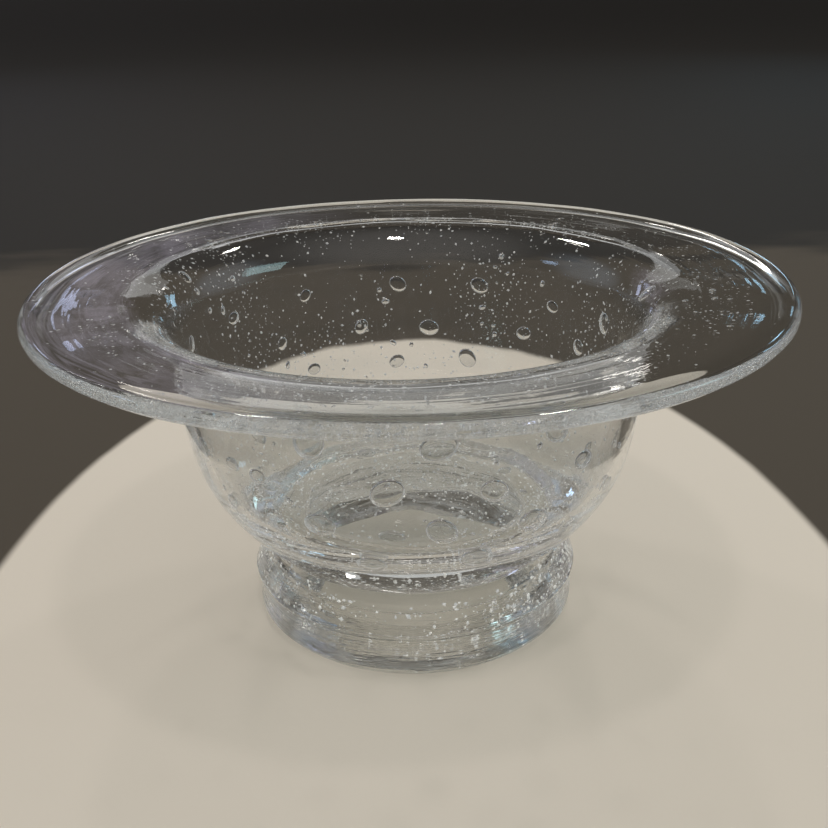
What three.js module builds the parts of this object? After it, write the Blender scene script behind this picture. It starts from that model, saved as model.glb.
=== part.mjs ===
// Footed glass bowl in clear hand-blown glass: a deep bowl with a wide, nearly
// flat brim, standing on a thick applied ring foot that is open underneath.
// Millimetres, +Z up. The origin is at the middle of the foot's resting face.

import * as THREE from "three";

// Overall sizes
const rimDiameter = 250;
const overallHeight = 121;

// Brim and lip
const brimSlope = THREE.MathUtils.degToRad(1); // rise of the brim towards its lip
const brimThickness = 3.8;
const lipThickness = 5; // rounded bead that the fire polish leaves at the edge
const lipWidth = 8; // how far in from the edge the brim thickens to the bead
const brimTurnRadius = 14; // underside bend from the wall out to the brim

// Bowl wall
const neckDiameter = 162.2; // outside of the wall where it starts to bend outwards
const neckFlare = THREE.MathUtils.degToRad(6); // lean of the wall at the neck
const wallThickness = 4.4;
const wallFootPull = 34.5; // how long the wall keeps the slope it leaves the foot with
const wallNeckPull = 40; // how long it keeps the lean of the neck

// Inside of the bowl, one long curve from the middle of the floor to the neck
const floorHeight = 45;
const insideFloorPull = 70.6; // how far the curve runs level from the axis
const insideNeckPull = 65.5; // how long it keeps the lean of the neck

// Underside of the bowl
const undersideHeight = 25; // flat glass over the hollow of the foot
const undersideFlatRadius = 16;
const undersideFlatPull = 23; // roundness of the underside on its way up to the wall
const undersideCreasePull = 11;

// Crease where the bowl sits in the top of the foot
const creaseRadius = 53;
const creaseHeight = 30.2;
const creaseSlope = THREE.MathUtils.degToRad(43.8);
const seatClearance = 0.3;

// Ring foot, outside
const collarRadius = 54.3;
const collarHeight = 26.4;
const collarFullness = 0.3; // how far the flare to the ridge stands out of a straight line
const ridgeRadius = 58.3; // line round the middle of the foot
const ridgeHeight = 16.4;
const waistRadius = 57;
const waistHeight = 8.5;
const rollRadius = 57.4; // soft roll just over the resting face
const rollHeight = 3.6;
const baseOuterRadius = 54.6;

// Ring foot, inside: the hollow is widest at half its height
const baseInnerRadius = 37;
const hollowBaseRadius = 37.5;
const hollowBaseHeight = 3;
const hollowMiddleRadius = 41.5;
const hollowMiddleHeight = 13;
const hollowTopRadius = 38.6;

// Smoothness of the turned surfaces
const turnSegments = 64;
const curveSteps = 6;
const wallSteps = 11;
const insideSteps = 18;

const rimRadius = rimDiameter / 2;
const neckRadius = neckDiameter / 2;

function point(radius, height) {
  return new THREE.Vector2(radius, height);
}

// A point at a distance and angle from another one
function polar(from, distance, angle) {
  return point(from.x + distance * Math.cos(angle), from.y + distance * Math.sin(angle));
}

function easeBetween(low, high, share) {
  return low + (high - low) * THREE.MathUtils.smoothstep(share, 0, 1);
}

function arcPoints(centre, radius, startAngle, endAngle, steps) {
  const points = [];
  for (let i = 0; i <= steps; i += 1) {
    const angle = startAngle + ((endAngle - startAngle) * i) / steps;
    points.push(polar(centre, radius, angle));
  }
  return points;
}

// The point beside curve[i], a given distance to the left of its course
function besidePoint(curve, i, distance) {
  const before = curve[Math.max(i - 1, 0)];
  const after = curve[Math.min(i + 1, curve.length - 1)];
  const along = after.clone().sub(before).normalize();
  return point(curve[i].x - along.y * distance, curve[i].y + along.x * distance);
}

// Turns a profile of radius and height round the upright axis
function turned(name, profile, material) {
  const geometry = new THREE.LatheGeometry(profile, turnSegments);
  geometry.rotateX(Math.PI / 2);
  const mesh = new THREE.Mesh(geometry, material);
  mesh.name = name;
  return mesh;
}

// Underside and wall of the bowl, from the axis out to the neck
const creasePoint = point(creaseRadius, creaseHeight);
const flatEdge = point(undersideFlatRadius, undersideHeight);
const undersideCurve = new THREE.CubicBezierCurve(
  flatEdge,
  point(undersideFlatRadius + undersideFlatPull, undersideHeight),
  polar(creasePoint, -undersideCreasePull, creaseSlope),
  creasePoint,
);

// The brim's straight underside runs into the bead of the lip
const beadRadius = lipThickness / 2;
const beadCentre = point(rimRadius - beadRadius, overallHeight - beadRadius);
const beadStart = polar(beadCentre, beadRadius, brimSlope - Math.PI / 2);
const turnCentreRadius = neckRadius + brimTurnRadius * Math.cos(neckFlare);
const turnEndRadius = turnCentreRadius - brimTurnRadius * Math.sin(brimSlope);
const turnEndHeight = beadStart.y - (beadStart.x - turnEndRadius) * Math.tan(brimSlope);
const turnCentreHeight = turnEndHeight - brimTurnRadius * Math.cos(brimSlope);
const turnCentre = point(turnCentreRadius, turnCentreHeight);
const neckPoint = polar(turnCentre, brimTurnRadius, Math.PI - neckFlare);

const wallCurve = new THREE.CubicBezierCurve(
  creasePoint,
  polar(creasePoint, wallFootPull, creaseSlope),
  polar(neckPoint, -wallNeckPull, Math.PI / 2 - neckFlare),
  neckPoint,
);

const floorOuter = [point(0, undersideHeight), ...undersideCurve.getPoints(curveSteps)];
const wallOuter = wallCurve.getPoints(wallSteps).slice(1);
const turnOuter = arcPoints(
  turnCentre,
  brimTurnRadius,
  Math.PI - neckFlare,
  Math.PI / 2 + brimSlope,
  curveSteps + 2,
).slice(1);
const brimOuter = [];
const lipStartRadius = rimRadius - lipWidth;
for (const radius of [lipStartRadius, (lipStartRadius + beadStart.x) / 2, beadStart.x]) {
  brimOuter.push(point(radius, beadStart.y - (beadStart.x - radius) * Math.tan(brimSlope)));
}
const bowlOuter = [...floorOuter, ...wallOuter, ...turnOuter, ...brimOuter];

// Inside of the floor and wall: heavy glass at the bottom, even up to the neck
const neckInside = polar(neckPoint, wallThickness, Math.PI - neckFlare);
const insideCurve = new THREE.CubicBezierCurve(
  point(0, floorHeight),
  point(insideFloorPull, floorHeight),
  polar(neckInside, -insideNeckPull, Math.PI / 2 - neckFlare),
  neckInside,
);

// Thickness of the brim at each point of its underside: thinner from the neck
// outwards and full again at the lip
const turnStart = floorOuter.length + wallOuter.length;
const brimStart = turnStart + turnOuter.length;

function brimGlass(i) {
  if (i < brimStart) {
    return easeBetween(wallThickness, brimThickness, (i - turnStart) / turnOuter.length);
  }
  const share = (i - brimStart) / (brimOuter.length - 1);
  return easeBetween(brimThickness, lipThickness, share);
}

const bowlInner = insideCurve.getPoints(insideSteps);
for (let i = turnStart; i < bowlOuter.length; i += 1) {
  bowlInner.push(besidePoint(bowlOuter, i, brimGlass(i)));
}

const lipBead = arcPoints(
  beadCentre,
  beadRadius,
  brimSlope - Math.PI / 2,
  brimSlope + Math.PI / 2,
  curveSteps + 2,
).slice(1, -1);

const bowlProfile = [...bowlOuter, ...lipBead, ...bowlInner.reverse()];

// Top of the foot, which follows the underside of the bowl
const seatPoints = undersideCurve.getPoints(curveSteps * 4);
const footSeat = seatPoints
  .map((_, i) => besidePoint(seatPoints, i, -seatClearance))
  .filter((seat) => seat.x > hollowTopRadius);
const seatStep = Math.ceil(footSeat.length / curveSteps);
const footTop = footSeat.filter((_, i) => (footSeat.length - 1 - i) % seatStep === 0);
const topEdge = footTop[footTop.length - 1];

// Outside of the foot: a concave collar down to the ridge, then the waist and roll
const collarSide = new THREE.SplineCurve([
  topEdge,
  point(collarRadius, collarHeight),
  point((collarRadius + ridgeRadius) / 2 + collarFullness, (collarHeight + ridgeHeight) / 2),
  point(ridgeRadius, ridgeHeight),
]).getPoints(curveSteps + 1);
const waistSide = new THREE.SplineCurve([
  point(ridgeRadius, ridgeHeight),
  point(waistRadius, waistHeight),
  point(rollRadius, rollHeight),
  point(baseOuterRadius, 0),
]).getPoints(curveSteps + 3);

// Hollow of the foot, from the resting face up to the bowl
const hollowSide = new THREE.SplineCurve([
  point(baseInnerRadius, 0),
  point(hollowBaseRadius, hollowBaseHeight),
  point(hollowMiddleRadius, hollowMiddleHeight),
  footTop[0],
]).getPoints(curveSteps + 2);

const footProfile = [
  ...hollowSide,
  ...footTop.slice(1, -1),
  ...collarSide,
  ...waistSide.slice(1),
  hollowSide[0].clone(),
].reverse();

const bowlGlass = new THREE.MeshStandardMaterial({
  color: 0xdde7e6,
  roughness: 0.04,
  metalness: 0,
  transparent: true,
  opacity: 0.35,
});
const footGlass = new THREE.MeshStandardMaterial({
  color: 0xd3dfde,
  roughness: 0.05,
  metalness: 0,
  transparent: true,
  opacity: 0.4,
});

const footedBowl = new THREE.Group();
footedBowl.add(turned("bowl", bowlProfile, bowlGlass));
footedBowl.add(turned("foot", footProfile, footGlass));

export default footedBowl;
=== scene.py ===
"""Footed bubble-glass bowl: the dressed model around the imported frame.

Metres, +Z up, the frame's own axes. The bowl and the foot are turned from the
same named sizes as the CAD part, with the unevenness of hand-blown glass added.
Their bubbles are real hollows inside the glass.
"""

import math

import bmesh
import bpy
from mathutils import Matrix, Vector


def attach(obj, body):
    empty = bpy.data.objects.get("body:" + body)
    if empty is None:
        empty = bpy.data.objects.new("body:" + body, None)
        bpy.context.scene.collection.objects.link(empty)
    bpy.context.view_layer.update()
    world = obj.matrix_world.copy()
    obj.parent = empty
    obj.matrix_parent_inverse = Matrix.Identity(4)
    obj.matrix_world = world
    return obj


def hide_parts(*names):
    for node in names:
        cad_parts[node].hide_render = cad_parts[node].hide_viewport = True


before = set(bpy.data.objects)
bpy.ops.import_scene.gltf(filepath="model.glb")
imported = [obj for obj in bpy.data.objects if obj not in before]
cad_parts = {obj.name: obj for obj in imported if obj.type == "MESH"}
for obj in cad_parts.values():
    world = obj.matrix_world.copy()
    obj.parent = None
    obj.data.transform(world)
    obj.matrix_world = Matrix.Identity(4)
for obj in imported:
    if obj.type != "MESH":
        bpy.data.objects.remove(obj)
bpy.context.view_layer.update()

MM = 0.001

# Brim and lip
rim_radius = 125 * MM
overall_height = 121 * MM
brim_slope = math.radians(1)
brim_thickness = 3.8 * MM
lip_thickness = 5 * MM
lip_width = 8 * MM
brim_turn_radius = 14 * MM

# Bowl wall
neck_radius = 81.1 * MM
neck_flare = math.radians(6)
wall_thickness = 4.4 * MM
wall_foot_pull = 34.5 * MM
wall_neck_pull = 40 * MM

# Inside of the bowl, one long curve from the middle of the floor to the neck
floor_height = 45 * MM
inside_floor_pull = 70.6 * MM
inside_neck_pull = 65.5 * MM

# Underside of the bowl
underside_height = 25 * MM
underside_flat_radius = 16 * MM
underside_flat_pull = 23 * MM
underside_crease_pull = 11 * MM

# Crease where the bowl sits in the top of the foot
crease = (53 * MM, 30.2 * MM)
crease_slope = math.radians(43.8)

# Ring foot: radius and height of the points on its section
collar = (54.3 * MM, 26.4 * MM)
collar_fullness = 0.3 * MM
ridge = (58.3 * MM, 16.4 * MM)
waist = (57 * MM, 8.5 * MM)
roll = (57.4 * MM, 3.6 * MM)
base_outer = (54.6 * MM, 0)
base_inner = (37 * MM, 0)
hollow_base = (37.5 * MM, 3 * MM)
hollow_middle = (41.5 * MM, 13 * MM)
hollow_top_radius = 38.6 * MM
foot_outside = 50 * MM  # further out than this lies the outside of the foot

# Middle of the foot's ring, and the width of the band of seeds round it
foot_middle = [
    (46.5 * MM, 3 * MM),
    (49 * MM, 10 * MM),
    (49 * MM, 17 * MM),
    (47.5 * MM, 23 * MM),
]
foot_seed_band = 11 * MM

# Fineness of the turned surfaces
bowl_turns = 180
foot_turns = 200
mid_turns = 96
underside_steps = 22
wall_steps = 34
bend_steps = 16
brim_steps = 10
collar_steps = 36
base_steps = 30

skin_of_glass = 0.15 * MM  # the least glass that covers a small bubble

# Studio
floor_drop = 0.2 * MM  # so that the floor and the foot's base aren't in one plane
floor_reach = 6.5
floor_steps = 24
table_reach = 0.28  # how far behind the bowl the round table ends
table_half_width = 0.165
# Painted shade darkens the floor behind the table between these two distances
dusk_start, dusk_end = 0.42, 0.5  # where the floor behind the table darkens


# Profiles, as lists of (radius, height)


def polar(start, distance, angle):
    return (start[0] + distance * math.cos(angle), start[1] + distance * math.sin(angle))


def arc(centre, radius, start, end, steps):
    return [
        polar(centre, radius, start + (end - start) * i / steps) for i in range(steps + 1)
    ]


def bezier(a, b, c, d, steps):
    points = []
    for i in range(steps + 1):
        t = i / steps
        u = 1 - t
        weights = (u**3, 3 * u * u * t, 3 * u * t * t, t**3)
        points.append(
            tuple(sum(w * p[k] for w, p in zip(weights, (a, b, c, d))) for k in (0, 1))
        )
    return points


def spline(knots, steps):
    """A smooth line through the knots, with the same rule as the CAD part's."""
    points = []
    last = len(knots) - 1
    for i in range(steps + 1):
        place = last * i / steps
        k = min(int(place), last - 1)
        t = place - k
        before, a, b, after = (
            knots[max(k - 1, 0)],
            knots[k],
            knots[k + 1],
            knots[min(k + 2, last)],
        )
        point = []
        for axis in (0, 1):
            slope_a = (b[axis] - before[axis]) / 2
            slope_b = (after[axis] - a[axis]) / 2
            rise = b[axis] - a[axis]
            point.append(
                a[axis]
                + slope_a * t
                + (3 * rise - 2 * slope_a - slope_b) * t * t
                + (slope_a + slope_b - 2 * rise) * t**3
            )
        points.append(tuple(point))
    return points


def smoothstep(value, low, high):
    t = min(max((value - low) / (high - low), 0), 1)
    return t * t * (3 - 2 * t)


def beside(line, i, distance):
    """The point beside line[i], a distance to the left of its course."""
    x0, y0 = line[max(i - 1, 0)]
    x1, y1 = line[min(i + 1, len(line) - 1)]
    length = math.hypot(x1 - x0, y1 - y0)
    return (
        line[i][0] - (y1 - y0) / length * distance,
        line[i][1] + (x1 - x0) / length * distance,
    )


bead_radius = lip_thickness / 2
bead_centre = (rim_radius - bead_radius, overall_height - bead_radius)
bead_start = polar(bead_centre, bead_radius, brim_slope - math.pi / 2)
turn_centre_radius = neck_radius + brim_turn_radius * math.cos(neck_flare)
turn_end_radius = turn_centre_radius - brim_turn_radius * math.sin(brim_slope)
turn_end_height = bead_start[1] - (bead_start[0] - turn_end_radius) * math.tan(brim_slope)
turn_centre = (turn_centre_radius, turn_end_height - brim_turn_radius * math.cos(brim_slope))
neck_point = polar(turn_centre, brim_turn_radius, math.pi - neck_flare)

underside = bezier(
    (underside_flat_radius, underside_height),
    (underside_flat_radius + underside_flat_pull, underside_height),
    polar(crease, -underside_crease_pull, crease_slope),
    crease,
    underside_steps,
)
wall = bezier(
    crease,
    polar(crease, wall_foot_pull, crease_slope),
    polar(neck_point, -wall_neck_pull, math.pi / 2 - neck_flare),
    neck_point,
    wall_steps,
)
brim_turn = arc(
    turn_centre, brim_turn_radius, math.pi - neck_flare, math.pi / 2 + brim_slope, bend_steps
)
brim_under = []
for step in range(1, brim_steps + 1):
    radius = turn_end_radius + (bead_start[0] - turn_end_radius) * step / brim_steps
    brim_under.append((radius, bead_start[1] - (bead_start[0] - radius) * math.tan(brim_slope)))

flat_middle = [(underside_flat_radius * i / 4, underside_height) for i in range(4)]
bowl_outside = flat_middle + underside + wall[1:] + brim_turn[1:] + brim_under
turn_start = len(flat_middle) + len(underside) + len(wall) - 1
turn_end = turn_start + len(brim_turn) - 1


def brim_glass(i):
    """Thinner from the neck out over the brim, and full again at the lip."""
    if i < turn_end:
        share = smoothstep(i, turn_start, turn_end)
        return wall_thickness + (brim_thickness - wall_thickness) * share
    share = smoothstep(bowl_outside[i][0], rim_radius - lip_width, bead_start[0])
    return brim_thickness + (lip_thickness - brim_thickness) * share


neck_inside = polar(neck_point, wall_thickness, math.pi - neck_flare)
bowl_inside = bezier(
    (0, floor_height),
    (inside_floor_pull, floor_height),
    polar(neck_inside, -inside_neck_pull, math.pi / 2 - neck_flare),
    neck_inside,
    turn_start - 1,
)
bowl_inside += [
    beside(bowl_outside, i, brim_glass(i)) for i in range(turn_start, len(bowl_outside))
]


def nearest(spot, line):
    return min(math.dist(spot, other) for other in line)


# The middle of the glass, and how thick the glass is round each of its points
bowl_middle = [
    ((a[0] + b[0]) / 2, (a[1] + b[1]) / 2) for a, b in zip(bowl_outside, bowl_inside)
]
bowl_thickness = [
    2 * min(nearest(spot, bowl_outside), nearest(spot, bowl_inside)) for spot in bowl_middle
]
lip = arc(
    bead_centre, bead_radius, brim_slope - math.pi / 2, brim_slope + math.pi / 2, bend_steps
)[1:-1]

# The seat of the bowl in the foot, and the foot's own section
seat = [p for p in underside if p[0] > hollow_top_radius]
collar_middle = (
    (collar[0] + ridge[0]) / 2 + collar_fullness,
    (collar[1] + ridge[1]) / 2,
)
collar_side = spline([crease, collar, collar_middle, ridge], collar_steps)
waist_side = spline([ridge, waist, roll, base_outer], base_steps)
base_face = [(base_outer[0] + (base_inner[0] - base_outer[0]) * i / 4, 0) for i in (1, 2, 3)]
hollow_side = spline([base_inner, hollow_base, hollow_middle, seat[0]], base_steps)


class Wire:
    """A value on its way between nodes. A sum on it adds a Math node."""

    def __init__(self, board, socket):
        self.board = board
        self.socket = socket

    def also(self, name):
        """Another output of the same node."""
        return Wire(self.board, self.socket.node.outputs[name])

    def __add__(self, other):
        return self.board.maths("ADD", self, other)

    __radd__ = __add__

    def __sub__(self, other):
        return self.board.maths("SUBTRACT", self, other)

    def __rsub__(self, other):
        return self.board.maths("SUBTRACT", other, self)

    def __mul__(self, other):
        return self.board.maths("MULTIPLY", self, other)

    __rmul__ = __mul__

    def __truediv__(self, other):
        return self.board.maths("DIVIDE", self, other)

    def __rtruediv__(self, other):
        return self.board.maths("DIVIDE", other, self)

    def __pow__(self, other):
        return self.board.maths("POWER", self, other)

    def __mod__(self, other):
        return self.board.maths("MODULO", self, other)


class Board:
    """A node tree, to which node() adds each node with its settings and values."""

    def __init__(self, tree):
        self.tree = tree

    def node(self, kind, settings=None, values=None, output=0):
        made = self.tree.nodes.new(kind)
        for name, setting in (settings or {}).items():
            setattr(made, name, setting)
        if isinstance(values, list):
            values = dict(enumerate(values))
        for name, value in (values or {}).items():
            socket = made.inputs[name]
            if isinstance(value, Wire):
                self.tree.links.new(value.socket, socket)
            else:
                socket.default_value = value
        return Wire(self, made.outputs[output]) if made.outputs else None

    def maths(self, operation, *values):
        return self.node("ShaderNodeMath", {"operation": operation}, list(values))

    def vector(self, operation, *values):
        return self.node("ShaderNodeVectorMath", {"operation": operation}, list(values))

    def scaled(self, vector, amount):
        return self.node("ShaderNodeVectorMath", {"operation": "SCALE"}, {0: vector, 3: amount})

    def combined(self, x, y, z):
        return self.node("ShaderNodeCombineXYZ", {}, [x, y, z])

    def part(self, vector, axis):
        """One of the three numbers of a vector."""
        return self.node("ShaderNodeSeparateXYZ", {}, [vector], axis)

    def measured(self, operation, *vectors):
        """A number worked out from vectors, such as the length of one."""
        return self.node(
            "ShaderNodeVectorMath", {"operation": operation}, list(vectors), "Value"
        )

    def spun(self, rotation, angle):
        """The rotation after a turn about its own Z axis."""
        spin = self.node("FunctionNodeEulerToRotation", {}, [self.combined(0, 0, angle)])
        return self.node(
            "FunctionNodeRotateRotation", {"rotation_space": "LOCAL"}, [rotation, spin]
        )

    def eased(self, value, low, high, start=0.0, end=1.0):
        """Goes softly from start to end while the value goes from low to high."""
        return self.node(
            "ShaderNodeMapRange",
            {"interpolation_type": "SMOOTHSTEP"},
            [value, low, high, start, end],
        )

    def blended(self, share, first, second):
        """The first colour, with a share of the second."""
        return self.node(
            "ShaderNodeMix", {"data_type": "RGBA"}, {0: share, 6: first, 7: second}, 2
        )

    def noise(self, place, **values):
        return self.node("ShaderNodeTexNoise", {}, {"Vector": place, "Scale": 1.0, **values})

    def mark(self, name):
        """A number that the section carries on its points."""
        return self.node("GeometryNodeInputNamedAttribute", {"data_type": "FLOAT"}, {"Name": name})

    def chance(self, low, high, seed):
        """A random number for each point."""
        return self.node(
            "FunctionNodeRandomValue",
            {"data_type": "FLOAT"},
            {2: low, 3: high, "Seed": seed},
            1,
        )


SOCKETS = {int: "NodeSocketInt", float: "NodeSocketFloat"}


def geometry_board(name, sizes, materials):
    """A Geometry Nodes tree with its named inputs. Returns its board and inputs."""
    tree = bpy.data.node_groups.new(name, "GeometryNodeTree")
    tree.interface.new_socket(name="Geometry", in_out="INPUT", socket_type="NodeSocketGeometry")
    for label, value in sizes.items():
        socket = tree.interface.new_socket(
            name=label, in_out="INPUT", socket_type=SOCKETS[type(value)]
        )
        socket.default_value = value
    for label in materials:
        tree.interface.new_socket(name=label, in_out="INPUT", socket_type="NodeSocketMaterial")
    tree.interface.new_socket(name="Geometry", in_out="OUTPUT", socket_type="NodeSocketGeometry")
    board = Board(tree)
    entry = board.node("NodeGroupInput")
    names = ["Geometry", *sizes, *materials]
    return board, {label: entry.also(label) for label in names}


def grow(mesh, tree, values):
    """Runs a tree on a mesh and returns the plain mesh that it makes."""
    carrier = bpy.data.objects.new(mesh.name, mesh)
    bpy.context.scene.collection.objects.link(carrier)
    modifier = carrier.modifiers.new(tree.name, "NODES")
    modifier.node_group = tree
    for item in tree.interface.items_tree:
        if item.item_type == "SOCKET" and item.in_out == "INPUT" and item.name in values:
            modifier[item.identifier] = values[item.name]
    graph = bpy.context.evaluated_depsgraph_get()
    grown = bpy.data.meshes.new_from_object(carrier.evaluated_get(graph))
    bpy.data.objects.remove(carrier)
    return grown


def section(name, points, closed=False, **marks):
    """A section of turned glass as a line mesh, its marks kept on its points."""
    edges = [(i, i + 1) for i in range(len(points) - 1)]
    if closed:
        edges.append((len(points) - 1, 0))
    mesh = bpy.data.meshes.new(name)
    mesh.from_pydata([(radius, 0, height) for radius, height in points], edges, [])
    marks["away"] = [radius for radius, _ in points]
    marks["height"] = [height for _, height in points]
    for mark, values in marks.items():
        mesh.attributes.new(mark, "FLOAT", "POINT").data.foreach_set("value", values)
    return mesh


def turning_tree():
    """Turns a section round the axis, and gives it the unevenness of blown glass."""
    board, given = geometry_board(
        "turned glass",
        {
            "Turns": 240,
            "Neck Drift": -1.2 * MM,
            "Rim Rise": 0.5 * MM,
            "Rim Stretch": 0.4 * MM,
            "Ripple": 0.28 * MM,
            "Ripple Length": 30 * MM,
            "Seed": 3.0,
        },
        ["Glass", "Seat Glass"],
    )
    line = board.node("GeometryNodeMeshToCurve", {}, [given["Geometry"]])
    circle = board.node(
        "GeometryNodeCurvePrimitiveCircle", {"mode": "RADIUS"}, {"Resolution": given["Turns"]}
    )
    place = board.node("GeometryNodeInputIndex")
    circle = board.node(
        "GeometryNodeStoreNamedAttribute",
        {"data_type": "FLOAT", "domain": "POINT"},
        {"Geometry": circle, "Name": "turn", "Value": place * math.tau / given["Turns"]},
    )
    swept = board.node("GeometryNodeCurveToMesh", {}, [circle, line])

    turn = board.mark("turn")
    radius = board.mark("away")
    height = board.mark("height")
    side = board.mark("side")

    def waves(first, second):
        """Two and three waves round the rim, each turned by its own angle."""
        two = board.maths("COSINE", turn * 2 + first)
        three = board.maths("COSINE", turn * 3 + second)
        return two * 0.6 + three * 0.4

    reach = board.eased(radius, 80 * MM, rim_radius)
    rise = waves(0.6, -1.1) * given["Rim Rise"]
    stretch = waves(-0.4, 2.0) * given["Rim Stretch"]
    wide = radius + stretch * reach
    neck = board.eased(height, 60 * MM, 108 * MM) * (1 - board.eased(radius, 92 * MM, 108 * MM))
    spot = board.combined(
        wide * board.maths("COSINE", turn) + neck * given["Neck Drift"],
        wide * board.maths("SINE", turn),
        height + rise * reach,
    )

    # The inside and the outside ripple each in their own way, and the base stays flat
    seen = board.vector("ADD", spot, board.combined(given["Seed"], side * 0.31, 0))
    ripple = board.node(
        "ShaderNodeTexNoise",
        {"noise_dimensions": "3D"},
        {"Vector": seen, "Scale": 1 / given["Ripple Length"], "Detail": 1.0, "Roughness": 0.4},
        "Color",
    )
    ripple = board.vector("SUBTRACT", ripple, (0.5, 0.5, 0.5))
    loose = board.eased(height, 1 * MM, 10 * MM) * (1 - board.mark("seat"))
    ripple = board.scaled(ripple, given["Ripple"] * 2 * loose)
    spot = board.vector("ADD", spot, ripple)

    placed = board.node("GeometryNodeSetPosition", {}, {"Geometry": swept, "Position": spot})
    merged = board.node(
        "GeometryNodeMergeByDistance", {}, {"Geometry": placed, "Distance": 0.001 * MM}
    )
    outward = board.node("GeometryNodeFlipFaces", {}, {"Mesh": merged})
    smooth = board.node("GeometryNodeSetShadeSmooth", {}, {"Geometry": outward})
    real = board.node("GeometryNodeRealizeInstances", {}, {"Geometry": smooth})
    glazed = board.node(
        "GeometryNodeSetMaterial", {}, {"Geometry": real, "Material": given["Glass"]}
    )
    on_seat = board.node(
        "FunctionNodeCompare",
        {"data_type": "FLOAT", "operation": "GREATER_THAN"},
        {0: board.mark("seat"), 1: 0.99},
    )
    glazed = board.node(
        "GeometryNodeSetMaterial",
        {},
        {"Geometry": glazed, "Selection": on_seat, "Material": given["Seat Glass"]},
    )
    board.node("NodeGroupOutput", {}, {0: glazed})
    return board.tree


def hollows(board, balls, glass):
    """Ends a tree: the balls face inwards, as the walls of hollows in the glass do."""
    real = board.node("GeometryNodeRealizeInstances", {}, [balls])
    hollow = board.node("GeometryNodeFlipFaces", {}, [real])
    smooth = board.node("GeometryNodeSetShadeSmooth", {}, {"Geometry": hollow})
    glazed = board.node("GeometryNodeSetMaterial", {}, {"Geometry": smooth, "Material": glass})
    board.node("NodeGroupOutput", {}, {0: glazed})
    return board.tree


def seeds_tree():
    """Scatters small bubbles through the thickness of the glass."""
    board, given = geometry_board(
        "seeds",
        {
            "Density": 30000.0,
            "Smallest": 0.35 * MM,
            "Largest": 1.0 * MM,
            "Rarity": 3.0,
            "Flatness": 0.8,
            "Sides": 4,
            "Drift Length": 30 * MM,
            "Seed": 1,
        },
        ["Glass"],
    )

    # They crowd and thin out in drifts, and few of them are in the brim
    drift = board.node(
        "ShaderNodeTexNoise", {}, {"Scale": 1 / given["Drift Length"], "Detail": 1.0}
    )
    crowd = board.eased(drift, 0.38, 0.64, 0.25, 1.9)
    crowd = crowd * board.eased(board.mark("away"), 92 * MM, rim_radius - 5 * MM, 1.0, 0.07)
    points = board.node(
        "GeometryNodeDistributePointsOnFaces",
        {"distribute_method": "RANDOM"},
        {
            "Mesh": given["Geometry"],
            "Density": given["Density"] * crowd,
            "Seed": given["Seed"],
        },
    )

    def chance(low, high, shift):
        return board.chance(low, high, given["Seed"] + shift)

    size = given["Smallest"] + (given["Largest"] - given["Smallest"]) * (
        chance(0.0, 1.0, 11) ** given["Rarity"]
    )

    # Each lies somewhere between the two faces of the glass, and keeps clear of both
    room = board.maths("MAXIMUM", board.mark("thickness") * 0.5 - size * 0.6 - skin_of_glass, 0)
    shift = board.scaled(points.also("Normal"), room * chance(-1.0, 1.0, 12))
    points_moved = board.node("GeometryNodeSetPosition", {}, {"Geometry": points, "Offset": shift})
    ball = board.node(
        "GeometryNodeMeshUVSphere",
        {},
        {"Radius": 0.5, "Segments": given["Sides"], "Rings": given["Sides"] / 2},
    )
    rotation = board.spun(points.also("Rotation"), chance(0.0, math.tau, 13))
    scale = board.combined(
        size * chance(1.0, 1.5, 14), size * chance(0.85, 1.0, 15), size * given["Flatness"]
    )
    balls = board.node(
        "GeometryNodeInstanceOnPoints",
        {},
        {"Points": points_moved, "Instance": ball, "Rotation": rotation, "Scale": scale},
    )
    return hollows(board, balls, given["Glass"])


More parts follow.
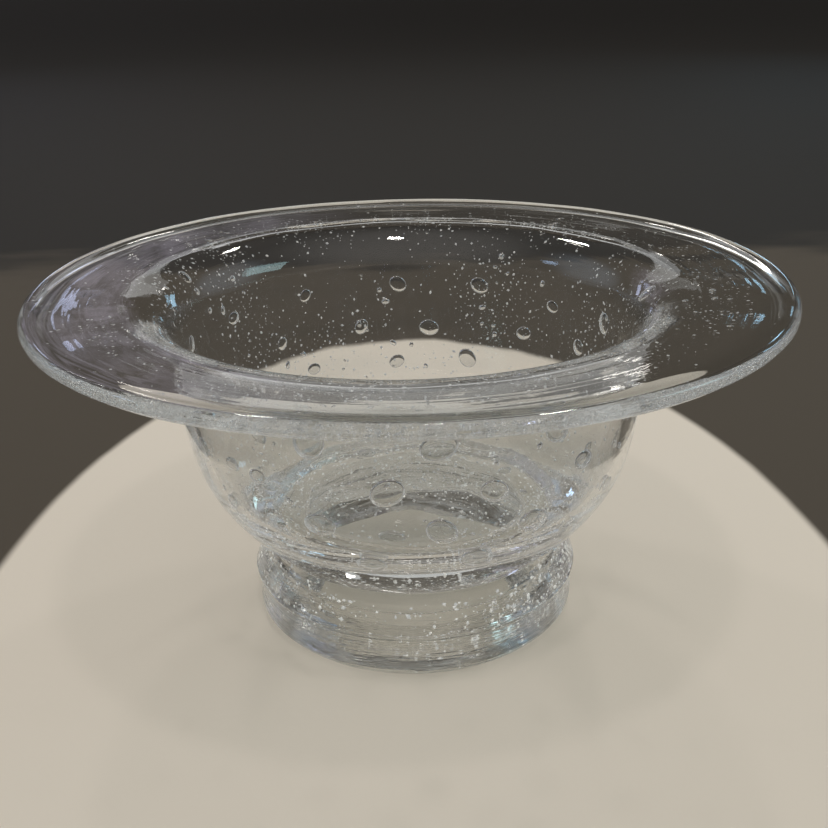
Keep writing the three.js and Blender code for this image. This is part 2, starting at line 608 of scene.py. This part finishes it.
def bubble_rows_tree():
    """Sets large bubbles in staggered rows round the inside of the glass."""
    board, given = geometry_board(
        "bubble rows",
        {
            "Rows": 5,
            "Per Row": 14,
            "Eye Height": 72 * MM,
            "Lowest": -17.0,
            "Highest": 27.0,
            "Phase": 0.064,
            "Front Growth": 0.45,
            "Smallest": 4.2 * MM,
            "Largest": 7.0 * MM,
            "Length": 1.25,
            "Depth": 0.2,
            "Jitter": 0.15,
            "Fineness": 3,
            "Seed": 5,
        },
        ["Glass"],
    )

    def chance(low, high, shift):
        return board.chance(low, high, given["Seed"] + shift)

    # Each bubble is where a line from the middle of the bowl meets the glass
    count = given["Rows"] * given["Per Row"]
    points = board.node("GeometryNodePoints", {}, {"Count": count})
    index = board.node("GeometryNodeInputIndex")
    row = board.maths("FLOOR", (index + 0.5) / given["Per Row"])
    column = index - row * given["Per Row"]
    jitter = chance(-1.0, 1.0, 1) * given["Jitter"]
    turn = (column + (row % 2) * 0.5 + jitter) * math.tau / given["Per Row"] + given["Phase"]
    gap = (given["Highest"] - given["Lowest"]) / (given["Rows"] - 1)
    lift = given["Lowest"] + gap * (row + chance(-1.0, 1.0, 2) * given["Jitter"] * 0.8)
    lift = board.maths("RADIANS", lift)
    level = board.maths("COSINE", lift)
    toward = board.combined(
        level * board.maths("COSINE", turn),
        level * board.maths("SINE", turn),
        board.maths("SINE", lift),
    )
    hit = board.node(
        "GeometryNodeRaycast",
        {"data_type": "FLOAT"},
        {
            "Target Geometry": given["Geometry"],
            "Attribute": board.mark("thickness"),
            "Source Position": board.combined(0, 0, given["Eye Height"]),
            "Ray Direction": toward,
            "Ray Length": 200 * MM,
        },
        "Hit Position",
    )
    size = given["Smallest"] + (given["Largest"] - given["Smallest"]) * chance(0.0, 1.0, 3)
    at_front = board.eased(board.maths("SINE", turn), -0.7, -1.0)
    size = size * (1 + given["Front Growth"] * at_front)
    deep = board.maths("MINIMUM", size * given["Depth"], hit.also("Attribute") * 0.72)
    placed = board.node("GeometryNodeSetPosition", {}, {"Geometry": points, "Position": hit})
    facing = board.node(
        "FunctionNodeAlignRotationToVector", {"axis": "Z"}, {"Vector": hit.also("Hit Normal")}
    )
    rotation = board.spun(facing, chance(-0.9, 0.9, 4))
    ball = board.node(
        "GeometryNodeMeshIcoSphere", {}, {"Radius": 0.5, "Subdivisions": given["Fineness"]}
    )

    # The ball becomes a lens with nearly flat faces and a rounded rim
    spot = board.node("GeometryNodeInputPosition")
    x = board.part(spot, "X")
    y, z = x.also("Y"), x.also("Z")
    across = (x * x + y * y) * 4
    full = board.maths("MAXIMUM", 1 - across * across, 0) ** 0.25
    flat = board.combined(x, y, board.maths("SIGN", z) * full * 0.5)
    ball = board.node("GeometryNodeSetPosition", {}, {"Geometry": ball, "Position": flat})
    scale = board.combined(size * given["Length"], size, deep)
    balls = board.node(
        "GeometryNodeInstanceOnPoints",
        {},
        {
            "Points": placed,
            "Selection": hit.also("Is Hit"),
            "Instance": ball,
            "Rotation": rotation,
            "Scale": scale,
        },
    )
    return hollows(board, balls, given["Glass"])


# Materials

index_of_glass = 1.5
thick_tint = (0.88, 0.895, 0.9)  # what the lip and the floor keep of each colour
lamp_tint = (0.87, 0.875, 0.87, 1)  # what lamp light keeps on its way through the glass


def material_board(name):
    made = bpy.data.materials.new(name)
    made.use_nodes = True
    made.node_tree.nodes.clear()
    return made, Board(made.node_tree)


def blown_glass(name, clear, tinted, rings=0.0):
    """Clear glass with cords, ripples and streaks, and tool rings of a given depth."""
    made, board = material_board(name)
    spot = board.node("ShaderNodeTexCoord", {}, {}, "Object")
    level = board.part(spot, "Z")
    away = board.measured("LENGTH", board.vector("MULTIPLY", spot, (1, 1, 0)))

    # Cords of tint lie level in the glass, which looks greyer in the lip and the floor
    cord = board.noise(
        board.vector("MULTIPLY", spot, (9.0, 9.0, 70.0)), Detail=3.0, Distortion=0.8
    )
    tint = board.blended(board.eased(cord, 0.35, 0.7), clear, tinted)
    thick = board.maths(
        "MAXIMUM",
        board.eased(away, rim_radius - 15 * MM, rim_radius - 5 * MM),
        board.eased(level, 38 * MM, 54 * MM, 1.0, 0.0),
    )
    tint = board.blended(thick, tint, board.vector("MULTIPLY", tint, thick_tint))

    # Soft ripples, which the fire polish has calmed at the lip
    peel = board.noise(spot, Scale=260.0, Detail=1.0)
    calm = board.eased(away, rim_radius - 10 * MM, rim_radius - 3 * MM, 1.0, 0.15)
    height = ((peel - 0.5) * 0.006 * MM + (cord - 0.5) * 0.03 * MM) * calm

    # Streaks drawn round the brim, its top and its underside each with their own
    flat_spot = board.vector("MULTIPLY", spot, (7.0, 7.0, 0.0))
    drawn = board.combined(0.0, 0.0, away * 240 + level * 300)
    streak = board.noise(board.vector("ADD", flat_spot, drawn), Detail=2.0, Distortion=0.5)
    brim = board.eased(away, 77 * MM, 86 * MM) * board.eased(away, 106 * MM, 119 * MM, 1.0, 0.25)
    height = height + (streak - 0.5) * brim * 0.055 * MM

    if rings:
        # Tool rings, strongest under the ridge, and the fine line of the ridge
        line = board.noise(
            board.vector("MULTIPLY", spot, (26.0, 26.0, 560.0)), Detail=2.0, Roughness=0.6
        )
        low = 1 - board.eased(level, waist[1] + 1 * MM, ridge[1] + 2 * MM) * 0.85
        edge = board.maths("ABSOLUTE", level - (ridge[1] - 0.3 * MM))
        edge = board.eased(edge, 0, 1.1 * MM, 1.0, 0.0)
        height = height + line * low * rings + edge * 0.45 * MM
    bump = board.node(
        "ShaderNodeBump", {}, {"Strength": 1.0, "Distance": 1.0, "Height": height}
    )
    glass = board.node(
        "ShaderNodeBsdfPrincipled",
        {},
        {
            "Base Color": tint,
            "Roughness": 0.0,
            "IOR": index_of_glass,
            "Transmission Weight": 1.0,
            "Normal": bump,
        },
    )
    board.node("ShaderNodeOutputMaterial", {}, [light_through(board, glass)])
    return made


def light_through(board, glass):
    """Lets the lamps shine through the glass, so that its shadow stays light."""
    ray = board.node("ShaderNodeLightPath", {}, {}, "Is Shadow Ray")
    passing = board.node("ShaderNodeBsdfTransparent", {}, [lamp_tint])
    share = board.maths("MAXIMUM", ray, ray.also("Is Diffuse Ray"))
    return board.node("ShaderNodeMixShader", {}, [share, glass, passing])


def glowing_seed_glass(name):
    """The skin of a fine bubble, painted white and given a painted glow (emission), which stand in
    for the lamp light a real bubble gathers.
    """
    made, board = material_board(name)
    spot = board.node("ShaderNodeTexCoord", {}, {}, "Object")
    grain = board.noise(spot, Scale=700.0, Detail=0.0)
    skin = board.blended(
        board.eased(grain, 0.35, 0.6), (0.72, 0.74, 0.75, 1), (0.98, 0.98, 0.96, 1)
    )

    # Painted light: the skin and its glow are lighter in the thick floor and foot than up in the
    # thin wall, where a real bubble gathers less lamp light
    level = board.part(spot, "Z")
    skin = board.scaled(skin, board.eased(level, 40 * MM, 75 * MM, 1.0, 0.6))
    # Painted light: the white colour and the glow, though the bubble is no lamp, make each bubble
    # a white speck
    glass = board.node(
        "ShaderNodeBsdfPrincipled",
        {},
        {
            "Base Color": skin,
            "Roughness": board.eased(grain, 0.3, 0.7, 0.08, 0.3),
            "IOR": index_of_glass,
            "Transmission Weight": 0.25,
            "Emission Color": skin,
            "Emission Strength": 0.3,
        },
    )
    board.node("ShaderNodeOutputMaterial", {}, [light_through(board, glass)])
    return made


def seat_glass(name):
    """Where the foot is fused to the bowl the glass goes straight on."""
    made, board = material_board(name)
    through = board.node("ShaderNodeBsdfTransparent", {}, [(1, 1, 1, 1)])
    board.node("ShaderNodeOutputMaterial", {}, [through])
    return made


def studio_floor(name, pale, dark):
    """A pale table top, and round it the dim floor, with painted shade that darkens it towards the
    back.
    """
    made, board = material_board(name)
    spot = board.node("ShaderNodeTexCoord", {}, {}, "Object")
    table = board.vector("DIVIDE", spot, (table_half_width, table_reach, 1))
    away = board.measured("LENGTH", table)
    mottle = board.noise(board.vector("MULTIPLY", spot, (5.0, 14.0, 1.0)), Detail=3.0)
    far = board.eased(away + (mottle - 0.5) * 0.02, 0.985, 1.015)
    # Painted shade: behind the table the floor goes most of the way to black
    back = board.part(spot, "Y") + (mottle - 0.5) * 0.22
    deep = board.eased(back, dusk_start, dusk_end) * 0.85
    shade = board.blended(deep, dark, (0, 0, 0, 1))
    colour = board.blended(far, pale, shade)
    paint = board.node(
        "ShaderNodeBsdfPrincipled", {}, {"Base Color": colour, "Roughness": 0.85}
    )
    board.node("ShaderNodeOutputMaterial", {}, [paint])
    return made


bowl_glass = blown_glass("bowl glass", (0.915, 0.917, 0.912, 1), (0.83, 0.845, 0.85, 1))
foot_glass = blown_glass(
    "foot glass", (0.86, 0.855, 0.835, 1), (0.75, 0.755, 0.745, 1), rings=1.1 * MM
)
glowing_seed_skin = glowing_seed_glass("glowing seed skin")
fused = seat_glass("fused seat")

# The pieces

turning = turning_tree()
seeds = seeds_tree()
bubble_rows = bubble_rows_tree()


def seat_mark(points):
    """1 at the points where the bowl and the foot are fused, and 0 elsewhere."""
    return [1.0 if p in seat else 0.0 for p in points]


# The mark of the side is 0 on the outside of the glass and 1 on the inside
bowl_points = bowl_outside + lip + bowl_inside[::-1]
round_the_lip = [i / (len(lip) - 1) for i in range(len(lip))]
bowl_section = section(
    "bowl section",
    bowl_points,
    seat=seat_mark(bowl_points),
    side=[0.0] * len(bowl_outside) + round_the_lip + [1.0] * len(bowl_inside),
)

foot_points = hollow_side[:-1] + seat + collar_side[1:] + waist_side[1:] + base_face
foot_points.reverse()
foot_section = section(
    "foot section",
    foot_points,
    closed=True,
    seat=seat_mark(foot_points),
    side=[0.0 if radius > foot_outside else 1.0 for radius, _ in foot_points],
)

middle_points = bowl_middle + [bead_centre]
middle_section = section(
    "bowl middle",
    middle_points,
    thickness=[*bowl_thickness, lip_thickness],
    side=[0.5] * len(middle_points),
)
foot_middle_points = spline(foot_middle, 12)
foot_middle_section = section(
    "foot middle",
    foot_middle_points,
    thickness=[foot_seed_band] * len(foot_middle_points),
    side=[0.5] * len(foot_middle_points),
)


def turned(line, turns, glass):
    return grow(line, turning, {"Turns": turns, "Glass": glass, "Seat Glass": fused})


bowl_body = turned(bowl_section, bowl_turns, bowl_glass)
foot_body = turned(foot_section, foot_turns, foot_glass)
bowl_mid = turned(middle_section, mid_turns, bowl_glass)
foot_mid = turned(foot_middle_section, mid_turns, foot_glass)

bowl_seeds = grow(
    bowl_mid.copy(),
    seeds,
    {
        "Density": 88000.0,
        "Smallest": 0.4 * MM,
        "Largest": 1.3 * MM,
        "Rarity": 3.0,
        "Glass": glowing_seed_skin,
    },
)
bowl_blisters = grow(
    bowl_mid.copy(),
    seeds,
    {
        "Density": 4500.0,
        "Smallest": 0.9 * MM,
        "Largest": 2.8 * MM,
        "Rarity": 2.0,
        "Flatness": 0.5,
        "Sides": 8,
        "Seed": 40,
        "Glass": bowl_glass,
    },
)
wall_bubbles = grow(bowl_mid.copy(), bubble_rows, {"Glass": bowl_glass})
floor_bubbles = grow(
    bowl_mid.copy(),
    bubble_rows,
    {
        "Rows": 2,
        "Per Row": 3,
        "Lowest": -46.0,
        "Highest": -33.0,
        "Phase": 0.2,
        "Smallest": 4.5 * MM,
        "Largest": 7.5 * MM,
        "Seed": 12,
        "Glass": bowl_glass,
    },
)
foot_seeds = grow(
    foot_mid.copy(),
    seeds,
    {
        "Density": 130000.0,
        "Smallest": 0.5 * MM,
        "Largest": 1.8 * MM,
        "Rarity": 2.5,
        "Flatness": 0.9,
        "Seed": 71,
        "Glass": glowing_seed_skin,
    },
)


def joined(name, meshes):
    """One piece out of a body of glass and the hollows in it."""
    shell = bmesh.new()
    materials = []
    for mesh in meshes:
        first = len(shell.faces)
        shell.from_mesh(mesh)
        shell.faces.ensure_lookup_table()
        for face in shell.faces[first:]:
            material = mesh.materials[face.material_index]
            if material not in materials:
                materials.append(material)
            face.material_index = materials.index(material)
    whole = bpy.data.meshes.new(name)
    shell.to_mesh(whole)
    shell.free()
    for material in materials:
        whole.materials.append(material)
    piece = bpy.data.objects.new(name, whole)
    bpy.context.scene.collection.objects.link(piece)
    return piece


bowl = joined("blown_bowl", [bowl_body, bowl_seeds, bowl_blisters, wall_bubbles, floor_bubbles])
foot = joined("ring_foot", [foot_body, foot_seeds])
for piece, node, slot in ((bowl, "bowl", "bowl_glass"), (foot, "foot", "foot_glass")):
    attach(piece, "root")
    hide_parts(node)
    print("PIECE", piece.name, sum(len(p.vertices) - 2 for p in piece.data.polygons), "triangles")


# Studio

floor_section = section(
    "floor section",
    [(floor_reach * (i / floor_steps) ** 1.5, 0) for i in range(floor_steps + 1)],
)
floor_paint = studio_floor("studio floor", (0.84, 0.78, 0.69, 1), (0.075, 0.062, 0.046, 1))
floor_mesh = grow(
    floor_section,
    turning,
    {
        "Turns": 96,
        "Neck Drift": 0.0,
        "Rim Rise": 0.0,
        "Rim Stretch": 0.0,
        "Ripple": 0.0,
        "Glass": floor_paint,
        "Seat Glass": floor_paint,
    },
)
floor_mesh.transform(Matrix.Translation((0, 0, -floor_drop)))
floor = bpy.data.objects.new("studio_floor", floor_mesh)
bpy.context.scene.collection.objects.link(floor)

scene = bpy.context.scene


def room_light():
    """A dim room with a pale ceiling, a lighter wall at the left and lighter sides."""
    world = bpy.data.worlds.new("room")
    world.use_nodes = True
    world.node_tree.nodes.clear()
    board = Board(world.node_tree)
    toward = board.node("ShaderNodeTexCoord", {}, {}, "Generated")
    cloud = board.noise(toward, Scale=24.0, Detail=3.0)
    glow = board.combined(0.06, 0.052, 0.042)

    # Each patch of the walls: its middle, the angles where it starts and is full
    # in degrees, its light, and whether it is clouded
    for axis, outer, inner, colour, clouded in (
        ((0, -0.6, 0.8), 62, 22, (0.34, 0.32, 0.3), False),
        ((-0.33, 0.906, 0.26), 18, 3, (0.42, 0.39, 0.47), True),
        ((-1, 0.35, 0.4), 28, 8, (0.36, 0.43, 0.52), False),
        ((1, 0.3, 0.4), 28, 8, (0.36, 0.43, 0.52), False),
        ((0, -1, 0.25), 75, 25, (0.13, 0.12, 0.11), False),
    ):
        facing = board.measured("DOT_PRODUCT", toward, Vector(axis).normalized())
        share = board.eased(facing, math.cos(math.radians(outer)), math.cos(math.radians(inner)))
        if clouded:
            share = share * board.eased(cloud, 0.36, 0.68, 0.12, 1.0)
        glow = board.vector("ADD", glow, board.scaled(board.combined(*colour), share))
    lit = board.node("ShaderNodeBackground", {}, {"Color": glow, "Strength": 1.0})
    board.node("ShaderNodeOutputWorld", {}, [lit])
    return world


scene.world = room_light()


bowl_heart = Vector((0, 0, 60 * MM))


def softbox(name, place, width, height, watts, colour):
    """A rectangular lamp that faces the bowl."""
    lamp = bpy.data.lights.new(name, "AREA")
    lamp.shape = "RECTANGLE"
    lamp.size = width
    lamp.size_y = height
    lamp.energy = watts
    lamp.color = colour
    box = bpy.data.objects.new(name, lamp)
    box.location = place
    box.rotation_euler = (bowl_heart - Vector(place)).to_track_quat("-Z", "Y").to_euler()
    scene.collection.objects.link(box)


softbox("shelf light", (-0.51, 2.03, 0.55), 0.065, 0.012, 0.03, (1.0, 0.97, 0.9))
softbox("back panel", (0, 1.85, 0.9), 0.97, 0.27, 0.5, (0.98, 1.0, 1.0))
softbox("left window", (-1.6, -0.1, 0.9), 0.2, 0.2, 0.45, (0.5, 0.7, 1.0))
softbox("right window", (1.6, -0.15, 0.9), 0.72, 0.48, 2.7, (0.6, 0.9, 0.93))
softbox("far window left", (-0.86, 2.0, 0.55), 0.12, 0.4, 0.42, (0.62, 0.7, 1.0))
softbox("far window right", (0.84, 2.0, 0.55), 0.14, 0.4, 0.65, (0.45, 0.76, 1.0))
softbox("wall lamp", (0.46, 1.88, 0.9), 0.07, 0.05, 0.09, (1.0, 0.96, 0.9))
for side, place in (
    ("left", (-0.55, 1.3, 1.75)),
    ("right", (0.5, 1.45, 1.8)),
    ("near", (0.1, -0.5, 1.9)),
):
    softbox("ceiling lamp " + side, place, 0.14, 0.14, 7.5, (1.0, 0.95, 0.88))

# The camera stands where the photograph was taken from
focal_length = 1100  # in pixels of the photograph
photo_width = 828
camera_back = 2.857 * rim_radius
camera_height = 1.7853 * rim_radius
pitch, yaw, tilt = math.radians(23.13), math.radians(0.105), math.radians(1.18)
camera_data = bpy.data.cameras.new("camera")
camera_data.sensor_width = 36
camera_data.lens = focal_length / photo_width * camera_data.sensor_width
camera = bpy.data.objects.new("camera", camera_data)
scene.collection.objects.link(camera)
look = Vector(
    (math.sin(yaw) * math.cos(pitch), math.cos(yaw) * math.cos(pitch), -math.sin(pitch))
)
right = Vector((math.cos(yaw), -math.sin(yaw), 0))
down = look.cross(right)
tilted_right = math.cos(tilt) * right + math.sin(tilt) * down
tilted_down = math.cos(tilt) * down - math.sin(tilt) * right
placing = Matrix((tilted_right, -tilted_down, -look)).transposed().to_4x4()
placing.translation = Vector((0, -camera_back, camera_height))
camera.matrix_world = placing
scene.camera = camera

scene.view_settings.view_transform = "Standard"

# The lip and the throat turn black when light may not go on bouncing in the glass
glass_bounces = 96
scene.cycles.max_bounces = glass_bounces
scene.cycles.transmission_bounces = glass_bounces
scene.cycles.glossy_bounces = glass_bounces
scene.cycles.transparent_max_bounces = 64
